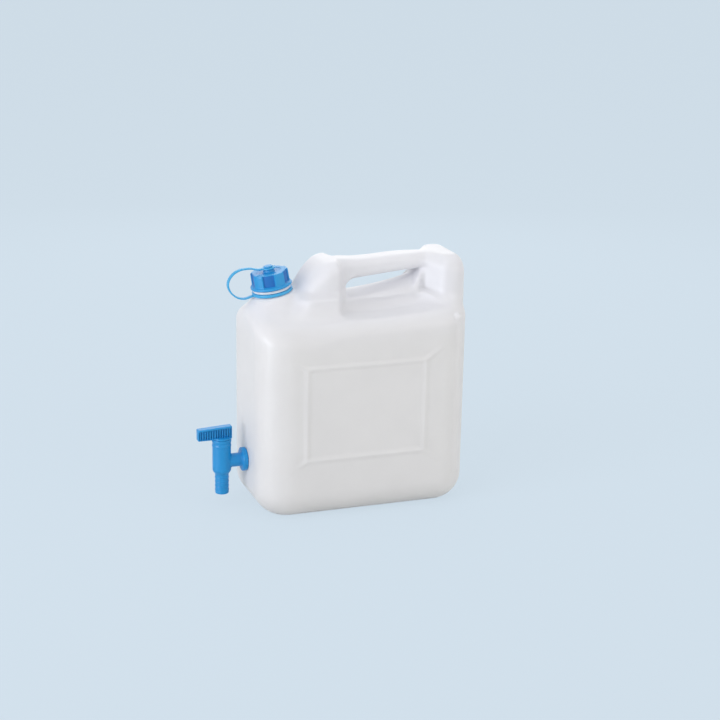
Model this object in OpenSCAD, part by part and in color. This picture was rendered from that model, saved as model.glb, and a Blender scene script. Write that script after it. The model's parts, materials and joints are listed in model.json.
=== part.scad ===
// Ten-litre blow-moulded water canister with a tethered screw cap and a drain tap.
// Millimetres, +Z up. X runs along the canister with the tap at -X, and the parting
// plane of the mould is y = 0. The origin is the centre of the flat underside.

/* [Tank] */
// Length of the tank, front wall to rear wall
tank_l = 295; // [288:1:304]
// Width of the tank over its side walls
tank_w = 165; // [158:1:174]
// Height to the top of the handle bar
tank_h = 339; // [332:1:350]
// Thickness of the blown wall
wall = 1.6; // [1.2:0.1:2.2]
// Plan radius of the upright corners
corner_r = 45; // [42:1:50]
// Radius between the walls and the floor
foot_r = 38; // [30:1:40]
// Radius between the walls and the shoulder
shoulder_r = 16; // [12:1:20]

/* [Shoulder, as drops below the handle bar] */
// Shoulder edge beside the neck
front_drop = 84; // [78:1:90]
// Shoulder edge beside the grip hole
middle_drop = 71; // [67:1:77]
// Shoulder edge at the rear wall
rear_drop = 67; // [62:1:72]
// Rise of the front shoulder from its edge to the middle
front_crown = 24; // [16:1:30]
// Rise of the shoulder beside the grip from its edge to the middle
middle_crown = 3; // [1:1:8]

/* [Handle] */
// Width of the front pillar at its foot
front_pillar_w = 104; // [96:1:110]
// Width of the rear pillar
rear_pillar_w = 102; // [94:1:110]
// Width of the pillars' upper block
pillar_top_w = 80; // [74:1:86]
// Width of the handle bar
bar_w = 38; // [34:1:44]
// Width of the saddle under the grip hole
saddle_w = 50; // [46:1:56]
// Edge radius along the handle bar
bar_r = 10; // [7:1:12]
// Front wall to the front end of the grip hole
grip_start = 131; // [128:1:136]
// Length of the rear pillar, from the grip hole to the rear wall
rear_pillar_l = 58; // [54:1:66]
// Height of the grip hole at its front end
grip_h = 21; // [18:1:24]
// Drop from the bar's top to the saddle at the front end of the grip hole
saddle_drop = 50.5; // [48:0.5:54]
// Depth of the bar at the rear end of the grip hole
bar_depth = 20; // [18:0.5:23]
// Height of the grip hole at its rear end
grip_rear_h = 7.5; // [6:0.5:10]

/* [Side panel] */
// Length of the beaded frame
panel_l = 165; // [150:1:175]
// Height of the beaded frame
panel_h = 126; // [110:1:134]
// Floor to the lower bead
panel_z = 85; // [80:1:92]
// Shift of the frame along the tank
panel_x = -5; // [-8:0.5:4]
// Height of the beads over the wall
bead_h = 1.8; // [1.2:0.1:2.4]
// Radius of the beads
bead_r = 4.6; // [4:0.1:6]
// Reach of the corner beads along the tank
bead_reach = 24; // [16:1:28]
// Drop of the corner beads
bead_fall = 16; // [10:1:20]

/* [Neck] */
// Front wall to the middle of the neck
neck_setback = 37.3; // [36:0.1:40]
// Drop of the neck's seat below the handle bar
neck_drop = 42.4; // [40:0.1:46]
// Lean of the neck towards the front wall, in degrees
neck_lean = 10; // [5:1:14]
// Outside radius of the neck
neck_r = 20; // [19.5:0.1:20.5]
// Radius of the neck's bore
neck_bore_r = 17.6; // [16.5:0.1:18]
// Outside radius of the collar that keeps the ring on
collar_r = 25; // [24:0.5:26]
// Thickness of the collar
collar_h = 3.4; // [2.8:0.1:4]

/* [Cap] */
// Height of the cap, without its button
cap_h = 20.5; // [19:0.5:22]
// Radius over the grip lobes
cap_r = 25.3; // [25:0.1:26.5]
// Thickness of the skirt in the recesses between the lobes
cap_skirt = 1.3; // [1.1:0.1:1.6]
// Radius of the flange at the foot of the cap
cap_flange_r = 27.5; // [27:0.5:29]
// Thickness of the flange
cap_flange_h = 3.6; // [3:0.1:4.5]
// Thickness of the cap's top
cap_top = 2.3; // [1.8:0.1:2.8]
// Number of grip lobes
cap_lobes = 5; // [4:1:8]
// Width of a lobe, in degrees
lobe_angle = 36; // [24:1:40]
// Thickness of the sealing disc
seal_t = 1.6; // [1.2:0.1:2]
// Room between neck and cap for their threads
thread_room = 1.5; // [1.3:0.1:1.6]

/* [Tether] */
// Outside radius of the ring round the neck
ring_r = 27; // [26:0.5:28]
// Thickness of the ring
ring_h = 3.8; // [3:0.1:4.2]
// Width of the strap
strap_w = 6.5; // [5:0.5:8]
// Thickness of the strap
strap_t = 1.8; // [1.4:0.1:2.2]
// Radius of the button's stem
stem_r = 4.2; // [3.5:0.1:5]
// Radius of the button's disc
button_r = 6.7; // [6:0.1:8]
// Height of the hub under the strap's eye
hub_h = 3.2; // [2.5:0.1:4]

/* [Tap] */
// Height of the outlet over the floor
outlet_z = 67.2; // [64:0.2:72]
// Front wall to the axis of the barrel
tap_reach = 33.5; // [32:0.5:38]
// Radius of the flange against the wall
tap_flange_r = 16; // [15:0.5:18]
// Thickness of the flange
tap_flange_t = 5; // [4:0.1:6]
// Radius of the stub between flange and barrel
stub_r = 9.3; // [8.8:0.1:10]
// Radius of the tail through the wall
tail_r = 10; // [9:0.1:10.5]
// Length of the tail inside the wall
tail_l = 14; // [12:0.5:18]
// Thickness of the gasket
gasket_t = 1.5; // [1:0.1:2]
// Outside radius of the barrel
barrel_r = 12.5; // [12.3:0.1:13.2]
// Top of the barrel over the outlet's axis
barrel_up = 32; // [30:0.2:34]
// Foot of the barrel below the outlet's axis
barrel_down = 12; // [11:0.5:14]
// Height of the collar round the barrel's top
barrel_rim_h = 3.3; // [2.5:0.1:4]
// Height of the taper between barrel and nozzle
barrel_taper = 4.6; // [4:0.1:6]
// Outside radius of the hose nozzle
nozzle_r = 9.25; // [9:0.05:9.6]
// Length of the hose nozzle
nozzle_l = 28.4; // [26:0.2:32]
// Number of grooves round the nozzle
nozzle_grooves = 3; // [2:1:4]
// Radius of the turning plug
plug_r = 9; // [8.6:0.1:9.3]
// Radius of the waterway
way_r = 5.5; // [4.5:0.1:5.8]
// Thickness of the plug's sealing rings
ring_t = 2; // [1.6:0.1:2.4]

/* [Tap handle] */
// Reach of the handle ahead of the barrel's axis
handle_front = 33.5; // [30:0.5:36]
// Reach of the handle behind the barrel's axis
handle_back = 13.5; // [12:0.5:14.5]
// Width of the handle
handle_w = 11; // [10:0.5:14]
// Height of the handle at its back end
handle_h = 17.8; // [16:0.2:20]
// Slope of the handle's top, in degrees
handle_slope = 3; // [0:0.5:5]
// Number of grip ribs on each side
handle_ribs = 13; // [9:1:15]

/* [Clearances] */
// Radial gap of parts that turn in each other
turn_gap = 0.3; // [0.25:0.05:0.4]
// Gap between faces that move apart
face_gap = 0.3; // [0.25:0.05:0.4]

/* [Hidden] */

$fn = 96;
HDPE = "#eef0f2";
BLUE = "#2f7cc0";
LIGHT_BLUE = "#4aa6e3";
RUBBER = "#2b2d30";

front_x = -tank_l/2;
rear_x = tank_l/2;
side_y = tank_w/2;
grip_x0 = front_x + grip_start;
grip_x1 = rear_x - rear_pillar_l;
grip_l = grip_x1 - grip_x0;

// --- curves -------------------------------------------------------------------------

// Slope of a station table [[x, value], ...] at station i
function table_slope(t, i) =
    i == 0 || i == len(t) - 1 ? 0
    : (t[i + 1][1] - t[i - 1][1])/(t[i + 1][0] - t[i - 1][0]);

// Smooth value between stations a and b, whose slopes are m and n
function hermite(a, b, m, n, x) =
    let (w = b[0] - a[0], u = (x - a[0])/w, v = 1 - u)
    a[1]*v*v*(1 + 2*u) + b[1]*u*u*(3 - 2*u) + w*u*v*(m*v - n*u);

// Smooth curve through a station table, level beyond its ends
function curve(t, x, i = 0) =
    x <= t[0][0] ? t[0][1]
    : x >= t[len(t) - 1][0] ? t[len(t) - 1][1]
    : x > t[i + 1][0] ? curve(t, x, i + 1)
    : hermite(t[i], t[i + 1], table_slope(t, i), table_slope(t, i + 1), x);

// 0 before a, 1 after b, eased between
function ease(a, b, x) = let (u = max(0, min(1, (x - a)/(b - a)))) u*u*(3 - 2*u);
function mix(a, b, u) = a + (b - a)*u;
function reverse(v) = [for (i = [len(v) - 1:-1:0]) v[i]];

// Drop of a quarter round of radius r at distance d inside its edge
function round_drop(r, d) = d >= r ? 0 : r - sqrt(max(0, r*r - (r - d)*(r - d)));

// --- shapes of the skin ------------------------------------------------------------

// Height of the shoulder's edge along the tank
edge_line = [[front_x + 45, tank_h - front_drop], [front_x + 78, tank_h - front_drop + 4],
             [front_x + 112, tank_h - middle_drop - 1.5], [front_x + 160, tank_h - middle_drop],
             [rear_x - 20, tank_h - rear_drop]];
// Rise from the edge to the middle of the shoulder
crown_line = [[front_x + 40, front_crown], [front_x + 75, front_crown*0.8],
              [front_x + 115, middle_crown], [rear_x - 75, middle_crown],
              [rear_x - 30, middle_crown + 9], [rear_x, middle_crown + 9]];
neck_x = front_x + neck_setback;
neck_z = tank_h - neck_drop;
mound_r = collar_r + 6;
mound_spread = 26;

function neck_distance(x, y) = norm([x - neck_x, y]);
// Height of the shoulder before its edge is rounded, without the neck's mound
function low_shoulder(x, y) =
    curve(edge_line, x) + curve(crown_line, x)*(1 - pow(y/side_y, 2));
// Height that the mound under the neck adds
function mound(x, y) =
    max(0, neck_z - 12 - low_shoulder(x, y))
    *(1 - ease(mound_r - 4, mound_r + mound_spread, neck_distance(x, y)));
function shoulder(x, y) = low_shoulder(x, y) + mound(x, y);

// Half of a rounded rectangle from rear to front on the +y side, as [x, y]
function half_ring(hl, hw, r, across, along, arc) = concat(
    [for (i = [0:across - 1]) [hl, (hw - r)*(i + 0.35)/across]],
    [for (i = [0:arc]) [hl - r + r*cos(90*i/arc), hw - r + r*sin(90*i/arc)]],
    [for (i = [1:along - 1]) [mix(hl - r, r - hl, i/along), hw]],
    [for (i = [0:arc]) [r - hl - r*sin(90*i/arc), hw - r + r*cos(90*i/arc)]],
    [for (i = [across - 1:-1:0]) [-hl, (hw - r)*(i + 0.35)/across]]);
// The whole closed ring, whose point i mirrors its point 2m - 1 - i
function mirrored(half) = concat(half, reverse([for (p = half) [p[0], -p[1], p[2]]]));

// One ring of the tank at distance d inside its walls, coarser on the inner skin
function tank_ring(d, inset) =
    let (r = max(3, corner_r - inset - d), inner = inset > 0)
    half_ring(tank_l/2 - inset - d, side_y - inset - d, r,
              across = inner ? 2 : 4, along = 13, arc = inner ? 4 : 6);

// Rings of the tank, from the floor up to the middle of the shoulder
function tank_rings(inset) = let (fr = foot_r - inset, sr = shoulder_r - inset) concat(
    [for (a = [0:18:90]) let (d = fr*(1 - sin(a)), z = inset + fr*(1 - cos(a)))
        [for (p = tank_ring(d, inset)) [p[0], p[1], z]]],
    [for (a = [0:18:90]) let (d = sr*(1 - cos(a)))
        [for (p = tank_ring(d, inset)) [p[0], p[1],
            shoulder(p[0], p[1]) - inset - (sr + mound(p[0], p[1]))*(1 - sin(a))]]],
    [for (d = inset > 0 ? [25, 35, 47, 64] : [21, 26, 32, 38, 45, 53, 62, 71])
        [for (p = tank_ring(d - inset, inset)) [p[0], p[1], shoulder(p[0], p[1]) - inset]]],
    [[for (p = tank_ring(side_y - 3 - inset, inset)) [p[0], p[1], shoulder(p[0], p[1]) - inset]]]);

// Skin through mirrored rings, closed across the first and the last one
module skin(halves) {
    rings = [for (h = halves) mirrored(h)];
    n = len(rings[0]);
    last = len(rings) - 1;
    sides = [for (k = [0:last - 1], i = [0:n - 1])
        let (j = (i + 1) % n) [k*n + i, (k + 1)*n + i, (k + 1)*n + j, k*n + j]];
    floor_strips = [for (i = [0:n/2 - 2]) [i, i + 1, n - 2 - i, n - 1 - i]];
    top_strips = [for (i = [0:n/2 - 2])
        [last*n + n - 1 - i, last*n + n - 2 - i, last*n + i + 1, last*n + i]];
    polyhedron([for (r = rings) each r], concat(sides, floor_strips, top_strips), 4);
}

// Ridge of the handle block along the tank
front_pillar_x = front_x + 113;
ridge_line = [[front_x + 40, tank_h - 56], [front_x + 60, tank_h - 43.5],
              [front_x + 73, tank_h - 29], [front_x + 86, tank_h - 14.5],
              [front_x + 100, tank_h - 5], [front_pillar_x, tank_h - 0.5],
              [front_x + 130, tank_h - 1], [front_x + 150, tank_h - 2.5],
              [front_x + 175, tank_h - 2], [front_x + 205, tank_h], [rear_x - 50, tank_h + 0.5],
              [rear_x - 25, tank_h + 1.5], [rear_x - 13, tank_h + 1], [rear_x - 6, tank_h - 2],
              [rear_x - 2, tank_h - 7], [rear_x, tank_h - 13]];
// Edge radius along the ridge
edge_r_line = [[front_x + 50, 26], [front_x + 95, 22], [front_pillar_x, 15], [grip_x0, bar_r],
               [grip_x1 - 12, bar_r], [rear_x - 30, 14], [rear_x, 12]];
// Half widths of the handle block: at its foot, at the ledge and above it
foot_line = [[front_x + 34, 26], [front_x + 52, 42], [front_x + 70, front_pillar_w/2 - 1],
             [front_x + 84, front_pillar_w/2 + 1], [front_x + 110, front_pillar_w/2 + 1],
             [grip_x0 - 6, saddle_w/2 + 12],
             [grip_x0 + 6, saddle_w/2 + 7], [grip_x1 - 20, saddle_w/2 + 7],
             [grip_x1, saddle_w/2 + 11], [grip_x1 + 26, rear_pillar_w/2 + 2],
             [rear_x, rear_pillar_w/2 + 2]];
ledge_line = [[front_x + 38, 24], [front_x + 58, 38], [front_x + 74, front_pillar_w/2 - 5],
              [front_x + 88, front_pillar_w/2 - 3], [front_x + 110, front_pillar_w/2 - 3],
              [grip_x0 - 6, saddle_w/2 + 4],
              [grip_x0 + 3, saddle_w/2], [grip_x1 - 10, saddle_w/2], [grip_x1 + 4, saddle_w/2 + 3],
              [grip_x1 + 26, rear_pillar_w/2 - 3], [rear_x, rear_pillar_w/2]];
upper_line = [[front_x + 50, 26], [front_x + 80, pillar_top_w/2 - 5],
              [front_x + 98, pillar_top_w/2], [front_pillar_x + 4, pillar_top_w/2],
              [grip_x0 - 2, bar_w/2 + 4],
              [grip_x0 + 8, bar_w/2], [grip_x1 - 10, bar_w/2], [grip_x1 + 6, bar_w/2 + 3],
              [grip_x1 + 27, rear_pillar_w/2 - 3], [rear_x, rear_pillar_w/2 - 2]];
rear_corner_r = 12;
// Height of the ledge between the lower and the upper block
ledge_z_line = [[grip_x0 - 4, tank_h - 46], [grip_x0 + 10, tank_h - 45],
                [grip_x0 + grip_l/2, tank_h - 36], [grip_x1 - 8, tank_h - 26],
                [grip_x1 + 4, tank_h - 27], [grip_x1 + 30, tank_h - 40]];
block_foot_z = tank_h - 95;

// Heights of the block's long edges at x, below its top round that starts at z = t
function block_levels(x, t) =
    let (z = curve(ledge_z_line, x),
         a = min(z - 20, t - 12), b = min(z - 3, t - 6), c = min(z + 8, t - 2))
    [block_foot_z, a, mix(a, b, 0.55), b, mix(b, c, 0.4), c, mix(c, t, 0.5), t];
// Half widths on those edges
function block_widths(x) =
    let (f = curve(foot_line, x), l = curve(ledge_line, x), u = curve(upper_line, x))
    [f, f, mix(f, l, 0.5), l, mix(l, u, 0.2), u, u, u];
function round_start(x) = curve(ridge_line, x) - min(curve(edge_r_line, x), curve(upper_line, x) - 3);

// Half width of the handle block at x and z
function block_half(x, z) =
    let (v = block_levels(x, round_start(x)), w = block_widths(x))
    lookup(z, [for (i = [0:len(v) - 1]) [v[i], w[i]]]) - round_drop(rear_corner_r, rear_x - x);
// The same for the inner skin, one wall inside the steepest slope beside the point
function block_inner(x, z) =
    let (y = block_half(x, z),
         sx = max([for (d = [-2, 2]) abs(block_half(x + d, z) - y)])/2,
         sz = max([for (d = [-2, 2]) abs(block_half(x, z + d) - y)])/2)
    y - wall*sqrt(1 + sx*sx + sz*sz);
function ridge_inset(x) =
    let (s = (curve(ridge_line, x + 1) - curve(ridge_line, x - 1))/2) wall*sqrt(1 + s*s);

// Half section of the handle block at x, from its foot to its ridge, as [x, y, z]
function block_section(x, inner) =
    let (t = round_start(x) - (inner ? ridge_inset(x) - wall : 0),
         r = curve(ridge_line, x) - (inner ? ridge_inset(x) : 0) - t,
         step = inner ? 30 : 22.5,
         w = max(0.6, inner ? block_inner(x, t) : block_half(x, t)))
    concat([for (z = block_levels(x, t)) [x, max(0.6, inner ? block_inner(x, z) : block_half(x, z)), z]],
           [for (a = [step:step:90]) [x, max(0.4, w - r*(1 - cos(a))), t + r*sin(a)]]);

module handle_block(inner = false) {
    x1 = rear_x - (inner ? wall : 0);
    k = inner ? 1.5 : 1;
    stations = concat([for (x = [front_x + 36:7*k:grip_x0 - 22]) x],
                      [for (x = [grip_x0 - 18:3.6*k:grip_x0 + 11]) x],
                      [for (x = [grip_x0 + 25:15*k:grip_x1 - 18]) x],
                      [for (x = [grip_x1 - 9:5*k:grip_x1 + 30]) x],
                      [for (a = [0:22.5:90]) x1 - rear_corner_r*(1 - sin(a))]);
    skin([for (x = stations) block_section(x, inner)]);
}

// --- grip hole ----------------------------------------------------------------------

// Corner of an outline rounded by radius r, as points with their outward normals
function rounded_corner(a, p, b, r, steps) =
    let (u = (a - p)/norm(a - p), v = (b - p)/norm(b - p), half = acos(u*v)/2,
         c = p + (u + v)/norm(u + v)*r/sin(half),
         from = atan2((p + u*r/tan(half) - c)[1], (p + u*r/tan(half) - c)[0]),
         to = atan2((p + v*r/tan(half) - c)[1], (p + v*r/tan(half) - c)[0]),
         turn = to - from > 180 ? to - from - 360 : to - from < -180 ? to - from + 360 : to - from)
    [for (i = [0:steps]) let (q = from + turn*i/steps, n = [cos(q), sin(q)]) [c + r*n, n]];

// Corners of the hole with their radii, clockwise seen from -Y
grip_corners = [[[grip_x0, tank_h - saddle_drop], 8],
                [[grip_x0 + 7, tank_h - saddle_drop + grip_h], 9],
                [[grip_x1 + 3, tank_h - bar_depth], 2.8],
                [[grip_x1 - 3, tank_h - bar_depth - grip_rear_h], 3.5],
                [[grip_x0 + grip_l*0.55, tank_h - saddle_drop + 8], 60]];
grip_outline = let (n = len(grip_corners)) [for (i = [0:n - 1])
    each rounded_corner(grip_corners[(i + n - 1) % n][0], grip_corners[i][0],
                        grip_corners[(i + 1) % n][0], grip_corners[i][1], 4)];

// How far the hole's rim has opened at distance y from the middle, under the bar and
// over the saddle; grow is the wall where the hole bounds the hollow inside
rim_r = 9;
function bar_flare(y, grow) = let (d = max(0, y - bar_w/2 + rim_r), r = rim_r - grow)
    d > r ? rim_r + (d - r)/2 : rim_r - sqrt(r*r - d*d);
function saddle_flare(y, grow) =
    let (d = max(0, min(y, saddle_w/2 + 2) - 12)) grow + 4.5*pow(d/(saddle_w/2 - 10), 2);

module grip_hole(grow = 0) {
    half = concat([0], [for (a = [0:22.5:90]) bar_w/2 - rim_r + (rim_r - grow)*sin(a)],
                  [saddle_w/2 - 2, saddle_w/2 + 3, 60]);
    ys = concat([for (i = [len(half) - 1:-1:1]) -half[i]], half);
    rings = [for (y = ys) [for (p = grip_outline)
        let (up = (p[1][1] + 1)/2,
             q = p[0] + p[1]*mix(saddle_flare(abs(y), grow), bar_flare(abs(y), grow), up))
        [q[0], y, q[1]]]];
    n = len(grip_outline);
    last = len(ys) - 1;
    sides = [for (k = [0:last - 1], i = [0:n - 1])
        let (j = (i + 1) % n) [k*n + i, (k + 1)*n + i, (k + 1)*n + j, k*n + j]];
    polyhedron([for (r = rings) each r],
               concat(sides, [[for (i = [0:n - 1]) i]], [[for (i = [n - 1:-1:0]) last*n + i]]), 6);
}

// --- beaded side panels ----------------------------------------------------------------

// Depth of the side wall's face at x, behind the flat of the side
function side_back(x) = round_drop(corner_r, min(x - front_x, rear_x - x));
// A bead from a to b on the +Y wall, as [x, z, height over the wall]
module bead(a, b, inset) {
    hull() for (p = [a, b])
        translate([p[0], side_y - side_back(p[0]) - bead_r + p[2], p[1]])
            sphere(bead_r - inset, $fn = 16);
}
module panel(inset) {
    x = [panel_x - panel_l/2, panel_x + panel_l/2];
    z = [panel_z, panel_z + panel_h];
    for (i = [0, 1]) {
        bead([x[0], z[i], bead_h], [x[1], z[i], bead_h], inset);
        bead([x[i], z[0], bead_h], [x[i], z[1], bead_h], inset);
        for (j = [0, 1])
            bead([x[i], z[j], bead_h],
                 [x[i] + (2*i - 1)*bead_reach, z[j] + (2*j - 1)*bead_fall, 0.2], inset);
    }
}
module panels(inset) {
    panel(inset);
    mirror([0, 1, 0]) panel(inset);
}

// --- neck -------------------------------------------------------------------------------

ring_z = face_gap;
collar_z = ring_z + ring_h + face_gap;
cap_z = collar_z + collar_h + 1;
cap_top_z = cap_z + cap_h;
lip_gap = 0.1;
neck_h = cap_top_z - cap_top - seal_t - 2*lip_gap;

// Places its children on the leaning neck, whose seat is z = 0
module at_neck() translate([neck_x, 0, neck_z]) rotate([0, -neck_lean, 0]) children();

module neck_solid() at_neck() {
    rotate_extrude($fn = 56)
        polygon([[0, -24], [mound_r + 3, -24], [mound_r + 4, -13], [mound_r + 2, -8],
                 [mound_r - 1, -3], [mound_r - 3, -0.7], [mound_r - 4, 0], [neck_r, 0],
                 [neck_r, collar_z], [collar_r - 0.6, collar_z], [collar_r, collar_z + 0.6],
                 [collar_r, collar_z + collar_h - 0.6], [collar_r - 0.6, collar_z + collar_h],
                 [neck_r, collar_z + collar_h], [neck_r, neck_h - 1], [neck_r - 0.6, neck_h],
                 [0, neck_h]]);
}
module neck_hollow() at_neck() {
    translate([0, 0, -30]) cylinder(r = neck_bore_r, h = neck_h + 31, $fn = 56);
    rotate_extrude($fn = 40)
        polygon([[0, -26], [mound_r - 1, -24], [mound_r + 1, -14], [mound_r - 1, -8],
                 [mound_r - 4, -wall - 2.4], [neck_bore_r + 1, -wall - 1], [0, -wall - 1]]);
}

// --- outlet -----------------------------------------------------------------------------

boss_r = tail_r + turn_gap + 2.6;
boss_l = 12;
// Places its children on the outlet's axis at the front wall, with z pointing outwards
module at_outlet() translate([front_x, 0, outlet_z]) rotate([0, -90, 0]) children();

module tank_hollow() {
    difference() {
        union() {
            skin(tank_rings(wall));
            handle_block(true);
            panels(wall);
            neck_hollow();
        }
        grip_hole(wall);
        at_outlet() translate([0, 0, -boss_l]) cylinder(r = boss_r, h = boss_l + 1, $fn = 64);
    }
}

module canister() {
    color(HDPE)
    difference() {
        union() {
            skin(tank_rings(0));
            handle_block();
            panels(0);
            neck_solid();
        }
        grip_hole();
        tank_hollow();
        at_neck() translate([0, 0, -12]) cylinder(r = neck_bore_r, h = neck_h + 13, $fn = 56);
        at_outlet() translate([0, 0, -boss_l - 1])
            cylinder(r = tail_r + turn_gap, h = boss_l + 2, $fn = 64);
    }
}

// --- cap --------------------------------------------------------------------------------

cap_bore_r = neck_r + thread_room;
cap_core_r = cap_bore_r + cap_skirt;
cap_edge = 0.8;
hub_r = stem_r + 1.8;
eye_r = stem_r + 3.8;
eye_z = cap_top_z + hub_h + lip_gap;
button_z = eye_z + strap_t + lip_gap;
button_h = 2.2;
lobe_turn = 70;

module screw_cap() color(BLUE) at_neck() difference() {
    union() {
        rotate_extrude()
            polygon([[0, cap_z], [cap_flange_r - 0.5, cap_z], [cap_flange_r, cap_z + 0.5],
                     [cap_flange_r, cap_z + cap_flange_h - 1], [cap_flange_r - 1, cap_z + cap_flange_h],
                     [cap_core_r, cap_z + cap_flange_h], [cap_core_r, cap_top_z - cap_edge],
                     [cap_core_r - cap_edge, cap_top_z], [hub_r, cap_top_z],
                     [hub_r, cap_top_z + hub_h], [stem_r, cap_top_z + hub_h],
                     [stem_r, button_z], [button_r - 0.3, button_z], [button_r, button_z + 0.3],
                     [button_r, button_z + button_h - 0.8], [button_r - 0.8, button_z + button_h],
                     [0, button_z + button_h]]);
        for (i = [0:cap_lobes - 1])
            rotate([0, 0, lobe_turn + 360/cap_lobes*i - lobe_angle/2])
                rotate_extrude(angle = lobe_angle)
                    polygon([[cap_bore_r + 0.4, cap_z + 1], [cap_r, cap_z + 1],
                             [cap_r, cap_top_z - cap_edge], [cap_r - cap_edge, cap_top_z],
                             [cap_bore_r + 0.4, cap_top_z]]);
    }
    translate([0, 0, cap_z - 1]) cylinder(r = cap_bore_r, h = cap_h - cap_top + 1);
}

module cap_seal() color("#d9dde0") at_neck()
    translate([0, 0, neck_h + lip_gap]) cylinder(r = cap_bore_r - turn_gap, h = seal_t);

// --- tether -----------------------------------------------------------------------------

// Middle line of the strap in the neck's own X and Z: out of the ring, round, and back
// over the cap to the eye under the button
eye_mid = eye_z + strap_t/2;
strap_line = [[-ring_r + 2.2, ring_z + strap_t/2 + 0.3], [-33, 0.6], [-40, 0.6], [-48, 4], [-54.5, 11],
              [-57.5, 19], [-57, 26], [-53, 32.5], [-46, 37.5], [-38, 39.6], [-31, 39.4],
              [-23, 38], [-15, eye_mid + 1.2], [-eye_r + 1, eye_mid]];
// Point on the Catmull-Rom curve through the middle line
function on_curve(v, i, u) =
    let (a = v[max(0, i - 1)], b = v[i], c = v[i + 1], d = v[min(len(v) - 1, i + 2)])
    (b*2 + (c - a)*u + (a*2 - b*5 + c*4 - d)*u*u + (b*3 - a - c*3 + d)*u*u*u)/2;
strap_path = concat([for (i = [0:len(strap_line) - 2], u = [0:1/3:0.99]) on_curve(strap_line, i, u)],
                    [strap_line[len(strap_line) - 1]]);
function path_normal(v, i) =
    let (d = v[min(len(v) - 1, i + 1)] - v[max(0, i - 1)]) [-d[1], d[0]]/norm(d);
function ribbon(v, t) = concat(
    [for (i = [0:len(v) - 1]) v[i] + path_normal(v, i)*t/2],
    reverse([for (i = [0:len(v) - 1]) v[i] - path_normal(v, i)*t/2]));

module cap_tether() color(LIGHT_BLUE) at_neck() difference() {
    union() {
        translate([0, 0, ring_z]) cylinder(r = ring_r, h = ring_h);
        rotate([90, 0, 0]) linear_extrude(strap_w, center = true)
            polygon(ribbon(strap_path, strap_t));
        translate([0, 0, eye_z]) cylinder(r = eye_r, h = strap_t);
    }
    translate([0, 0, ring_z - 1]) cylinder(r = neck_r + 0.6, h = ring_h + 2);
    translate([0, 0, eye_z - 1]) cylinder(r = stem_r + turn_gap, h = strap_t + 2);
}

// --- tap --------------------------------------------------------------------------------

tap_x = front_x - tap_reach;
barrel_top = outlet_z + barrel_up;
barrel_foot = outlet_z - barrel_down;
nozzle_top = barrel_foot - barrel_taper;
nozzle_foot = nozzle_top - nozzle_l;
plug_bore_r = plug_r + turn_gap;
plug_floor = outlet_z - way_r - 3.4;
nozzle_bore_r = way_r + 1;
groove_depth = 0.45;
groove_w = 2.2;
rim_out = 0.6;
flange_back = gasket_t;

// Places its children on the barrel's axis, at the floor's height
module at_barrel() translate([tap_x, 0, 0]) children();

module barrel_outline() polygon(concat(
    [[0, nozzle_foot], [nozzle_r - 1.2, nozzle_foot], [nozzle_r, nozzle_foot + 1.6]],
    [for (i = [nozzle_grooves - 1:-1:0])
        let (z = nozzle_foot + 5 + (nozzle_l - 13)*(nozzle_grooves - 1 - i)/(nozzle_grooves - 1))
        each [[nozzle_r, z], [nozzle_r - groove_depth, z + groove_w*0.3],
              [nozzle_r - groove_depth, z + groove_w*0.7], [nozzle_r, z + groove_w]]],
    [[nozzle_r, nozzle_top], [nozzle_r + 0.6, nozzle_top + 0.4],
     [barrel_r - 0.5, barrel_foot - 0.4], [barrel_r, barrel_foot + 0.8],
     [barrel_r, barrel_top - barrel_rim_h - 0.6], [barrel_r + rim_out, barrel_top - barrel_rim_h],
     [barrel_r + rim_out, barrel_top - 0.4], [barrel_r + rim_out - 0.4, barrel_top],
     [0, barrel_top]]));

module tap_body() color(BLUE) difference() {
    union() {
        at_barrel() rotate_extrude() barrel_outline();
        at_outlet() {
            cylinder(r = stub_r, h = tap_reach);
            rotate_extrude() polygon([[0, flange_back], [tap_flange_r, flange_back],
                [tap_flange_r, flange_back + tap_flange_t - 1],
                [tap_flange_r - 1, flange_back + tap_flange_t],
                [stub_r + 1.5, flange_back + tap_flange_t], [stub_r, flange_back + tap_flange_t + 1.5],
                [0, flange_back + tap_flange_t + 1.5]]);
            translate([0, 0, -tail_l]) cylinder(r = tail_r, h = tail_l + flange_back + 1);
        }
    }
    at_barrel() {
        translate([0, 0, plug_floor]) cylinder(r = plug_bore_r, h = barrel_top);
        translate([0, 0, nozzle_foot - 1]) cylinder(r = nozzle_bore_r, h = plug_floor - nozzle_foot + 2);
    }
    at_outlet() translate([0, 0, -tail_l - 1]) cylinder(r = way_r, h = tail_l + tap_reach + 1);
}

module tap_gasket() color(RUBBER) at_outlet() difference() {
    cylinder(r = tap_flange_r - 1.5, h = gasket_t);
    translate([0, 0, -1]) cylinder(r = tail_r + 0.1, h = gasket_t + 2);
}

// --- turning plug and handle --------------------------------------------------------------

plug_foot = plug_floor + face_gap;
handle_z = barrel_top + face_gap;
seal_depth = 1.4;
seal_squeeze = 0.05;
seal_zs = [outlet_z + way_r + 3, outlet_z + barrel_up - 8];
hub_plate_r = barrel_r + 0.2;
hub_plate_h = 2.4;
rib_depth = 0.9;
edge_band = 2.4;

// Side view of the handle, in X from the barrel's axis and Z from its underside
module handle_outline() polygon([
    [-handle_front + 1.2, 0], [handle_back, 0], [handle_back, handle_h - 1.2],
    [handle_back - 1.2, handle_h],
    [-handle_front + 1.8, handle_h - (handle_back + handle_front - 1.8)*tan(handle_slope)],
    [-handle_front, handle_h - 1.8 - (handle_back + handle_front)*tan(handle_slope)],
    [-handle_front, 1.2]]);

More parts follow.
